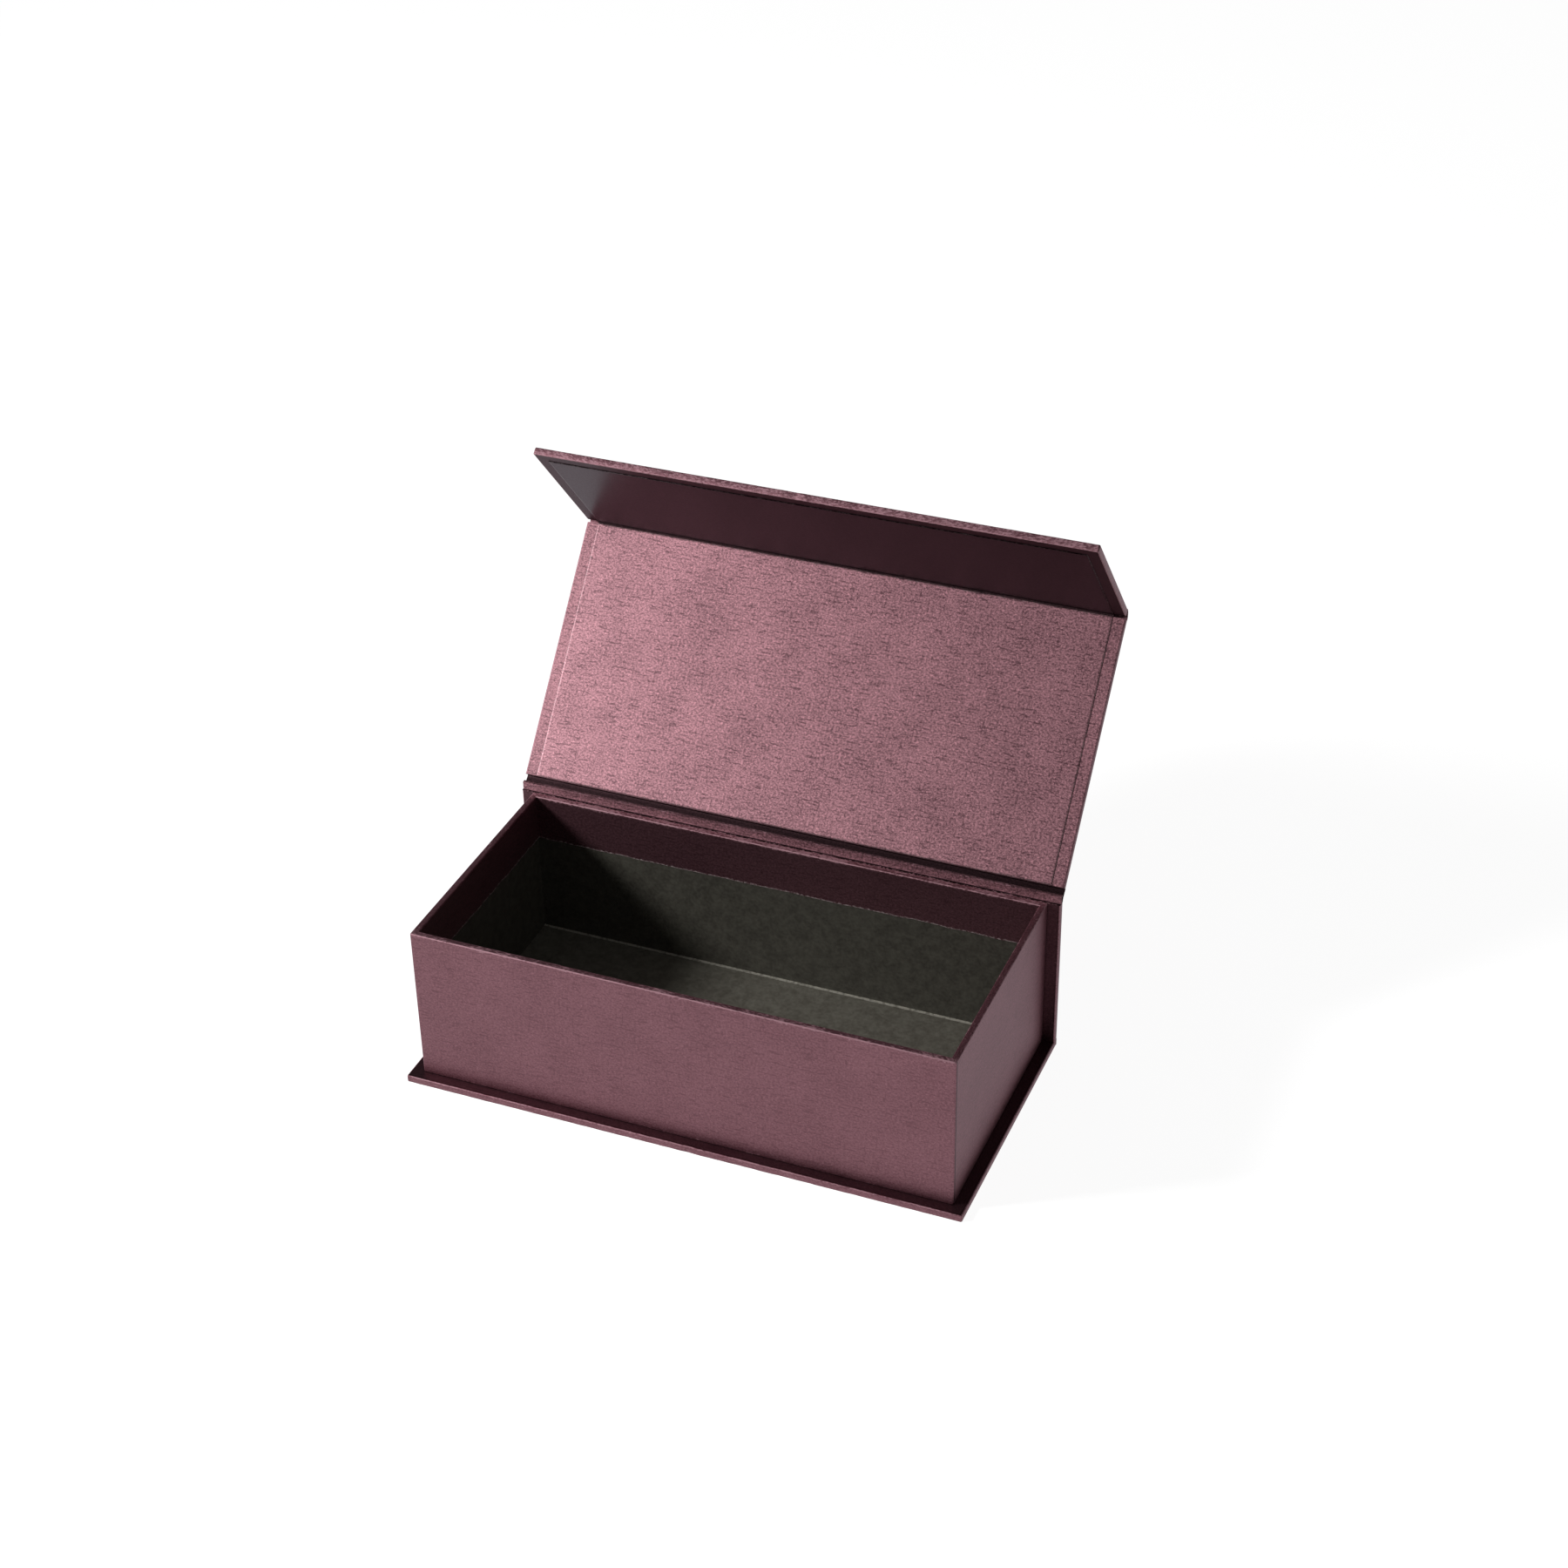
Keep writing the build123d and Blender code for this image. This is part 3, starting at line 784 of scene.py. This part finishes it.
def plain_board(name, light, dark, metallic=0.0, roughness=0.7, grain=2200.0, patches=120.0, crease=None):
    """Board, tape, lining or metal: a cloudy tone with a fine grain on the object's own place.

    Where a crease is given, as a depth and a height, the sheet is rubbed light behind the one and
    below the other.
    """
    material, tree, surface = start_material(name)
    place = add(tree, "ShaderNodeTexCoord").outputs["Object"]
    clouds = use_group(tree, mottle, {"Place": place, "Patches": patches, "Grain": grain})
    tone = math(tree, "MULTIPLY_ADD", clouds["Patch"], 0.6, math(tree, "MULTIPLY", clouds["Fleck"], 0.4))
    ground = blend_colour(tree, tone, dark, light)
    if crease:
        axes = add(tree, "ShaderNodeSeparateXYZ", {0: place}).outputs
        behind = math(tree, "GREATER_THAN", axes["Y"], crease[0])
        below = math(tree, "LESS_THAN", axes["Z"], crease[1])
        in_crease = math(tree, "MULTIPLY", behind, below)
        rubbed = math(tree, "MULTIPLY", in_crease, ramp(tree, clouds["Fleck"], -0.5, 0.6))
        ground = blend_colour(tree, rubbed, ground, crease_rub)
    tree.links.new(ground, surface["Base Color"])
    surface["Metallic"].default_value = metallic
    tree.links.new(math(tree, "MULTIPLY_ADD", clouds["Fleck"], 0.1, roughness), surface["Roughness"])
    emboss(tree, surface, clouds["Fleck"], strength=0.3, depth=0.05 * mm)
    return material


def lining_paper(name, light, dark, roughness):
    """Lining paper with a coarse grain, rubbed light in the crease where the floor meets the back."""
    back_crease = (tray_back - wall_inset - 0.8 * mm, floor_board_top + 0.5 * mm)
    return plain_board(name, light, dark, roughness=roughness, grain=700.0, patches=260.0,
                       crease=back_crease)


cover_linen = linen_paper("linen_cover", cover_light, cover_dark, roughness=0.47, worn_share=0.8, gloss=0.42)
# The liner's material uses the lighter colours of the same paper: painted light
liner_linen = linen_paper("linen_liner", liner_light, liner_dark, roughness=0.50, worn_share=0.3, gloss=0.5)
# Painted shade: the flap liner in near-black colours
flap_painted_shade_linen = linen_paper("linen_flap_liner_painted_shade", flap_painted_shade_light, flap_painted_shade_dark, roughness=0.28, worn_share=0.2,
                         gloss=0.1)
grey_board = plain_board("grey_board", (0.33, 0.30, 0.26, 1), (0.22, 0.20, 0.17, 1))
dark_lining = lining_paper("dark_lining", (0.105, 0.10, 0.08, 1), (0.055, 0.05, 0.04, 1), roughness=0.5)
# The floor's lining is the walls' lining paper in colours about twice as light: painted light
floor_lining = lining_paper("floor_lining", (0.21, 0.20, 0.165, 1), (0.12, 0.11, 0.088, 1), roughness=0.45)
gummed_tape = plain_board("gummed_tape", (0.40, 0.27, 0.15, 1), (0.30, 0.19, 0.10, 1), roughness=0.6)
strike_steel = plain_board("strike_steel", (0.56, 0.57, 0.58, 1), (0.42, 0.43, 0.44, 1),
                           metallic=1.0, roughness=0.35, grain=4000.0)
magnet_plate = plain_board("magnet_plate", (0.62, 0.61, 0.59, 1), (0.50, 0.49, 0.47, 1),
                           metallic=1.0, roughness=0.22, grain=4000.0)

slots = {"linen_paper": cover_linen, "liner_paper": liner_linen, "grey_board": grey_board,
         "dark_lining": dark_lining, "gummed_tape": gummed_tape, "strike_steel": strike_steel,
         "magnet": magnet_plate}


def dress(piece, slot, nodes, body=None, own=None):
    """Gives a new piece its material, the nodes that it stands for and the body it moves with."""
    piece.data.materials.append(own or slots[slot])
    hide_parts(*nodes)
    if body:
        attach(piece, body)
    else:
        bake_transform(piece)


# Papers that ride on one body
dress(base_cover, "linen_paper", ["base_cover"], "box")
dress(heel, "linen_paper", ["base_cover"], "box")
dress(spine_cover, "linen_paper", ["spine_cover"], "box")
dress(tray_wrap, "linen_paper", ["tray_wrap"], "box")
dress(lid_cover, "linen_paper", ["lid_cover"], "lid")
dress(lid_liner, "liner_paper", ["lid_liner"], "lid")
dress(flap_cover, "linen_paper", ["flap_cover"], "flap")
dress(flap_liner, "liner_paper", ["flap_liner"], "flap", own=flap_painted_shade_linen)

# Papers that bend between two bodies
dress(hinge_outer, "linen_paper", ["lid_hinge_outer"], None)
dress(hinge_inner, "linen_paper", ["lid_hinge_inner"], None)
dress(fold_outer, "linen_paper", ["flap_hinge_outer"], None)
dress(fold_inner, "liner_paper", ["flap_hinge_inner"], None)

# Pieces of the model that are shown as they are
walls = ["front", "back", "left", "right"]
kept_nodes = {
    "grey_board": ["base_board", "spine_board", "lid_board", "flap_board", "tray_floor_board"]
                  + [f"tray_{wall}_board" for wall in walls],
    "gummed_tape": ["tray_corner_stays"],
    "strike_steel": ["tray_strike_discs"],
    "magnet": ["flap_magnets"],
    "dark_lining": ["tray_floor_lining"] + [f"tray_{wall}_lining" for wall in walls],
}
# The floor's lining gets the lighter copy of the lining paper: painted light
for slot, names in kept_nodes.items():
    for name in names:
        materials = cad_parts[name].data.materials
        materials.clear()
        materials.append(floor_lining if name == "tray_floor_lining" else slots[slot])


# Floor, light and camera
def white_floor():
    """A matt floor that glows white to the camera and stays grey to the light that it sends back."""
    half = 4.0
    bounced_grey, seen_grey = (0.10, 0.10, 0.10, 1), (0.50, 0.50, 0.50, 1)
    camera_glow, mirrored_glow = 0.92, 0.47
    mesh = bpy.data.meshes.new("floor")
    corners = [(-half, -half, 0), (half, -half, 0), (half, half, 0), (-half, half, 0)]
    mesh.from_pydata(corners, [], [(0, 1, 2, 3)])
    material, tree, surface = start_material("floor")
    ray = add(tree, "ShaderNodeLightPath").outputs
    seen = math(tree, "MAXIMUM", ray["Is Glossy Ray"], ray["Is Transmission Ray"])
    seen = math(tree, "MAXIMUM", ray["Is Camera Ray"], seen)
    tree.links.new(blend_colour(tree, seen, bounced_grey, seen_grey), surface["Base Color"])
    surface["Roughness"].default_value = 0.9
    surface["Specular IOR Level"].default_value = 0.0
    surface["Emission Color"].default_value = (1, 1, 1, 1)
    glow = math(tree, "MULTIPLY", ray["Is Glossy Ray"], mirrored_glow)
    glow = math(tree, "MULTIPLY_ADD", ray["Is Camera Ray"], camera_glow, glow)
    tree.links.new(glow, surface["Emission Strength"])
    mesh.materials.append(material)
    return bpy.data.objects.new("floor", mesh)


def studio_world():
    """A white backdrop to the camera that gives the object only a little light."""
    seen_white, ambient = 0.93, 0.07
    world = bpy.data.worlds.new("studio")
    world.use_nodes = True
    tree = world.node_tree
    backdrop = tree.nodes["Background"].inputs
    ray = add(tree, "ShaderNodeLightPath").outputs
    backdrop["Color"].default_value = (1, 1, 1, 1)
    strength = math(tree, "MULTIPLY_ADD", ray["Is Camera Ray"], seen_white, ambient)
    tree.links.new(strength, backdrop["Strength"])
    return world


def stand(holder, right, above, back, place):
    """Places a lamp or camera by its three axes and its centre, and adds it to the scene."""
    rows = [[right[i], above[i], back[i], place[i]] for i in range(3)]
    holder.matrix_world = Matrix(rows + [[0, 0, 0, 1]])
    bpy.context.scene.collection.objects.link(holder)


def soft_light(name, place, aim, width, height, watts):
    """A rectangular lamp facing the point that it is aimed at."""
    lamp = bpy.data.lights.new(name, "AREA")
    lamp.shape = "RECTANGLE"
    lamp.size, lamp.size_y = width, height
    lamp.energy = watts
    way = np.array(aim) - np.array(place)
    way /= np.linalg.norm(way)
    side = np.cross(way, (0.0, 0.0, 1.0))
    side /= np.linalg.norm(side)
    stand(bpy.data.objects.new(name, lamp), side, np.cross(side, way), -way, place)


floor = white_floor()
bpy.context.scene.collection.objects.link(floor)
bpy.context.scene.world = studio_world()
soft_light("key", place=(-0.98, -0.60, 0.76), aim=(-0.02, 0.03, 0.08), width=0.26, height=0.26, watts=11.0)
soft_light("fill", place=(0.9, -0.5, 0.7), aim=(0.0, 0.0, 0.08), width=0.9, height=0.7, watts=0.4)

# The camera's lens and shift, its place and its three axes, as fitted to the photo's corners of the box
camera = bpy.data.cameras.new("camera")
camera.lens = 66.48
camera.sensor_width = 36.0
camera.shift_x = -0.00842
camera.shift_y = 0.01065
eye = (0.36875, -0.82248, 0.71091)
camera_right = (0.92725, 0.37423, -0.01287)
camera_up = (-0.19453, 0.51081, 0.83741)
camera_back = (0.31995, -0.77398, 0.54644)
viewer = bpy.data.objects.new("camera", camera)
stand(viewer, camera_right, camera_up, camera_back, eye)
bpy.context.scene.camera = viewer
bpy.context.scene.view_settings.view_transform = "Standard"
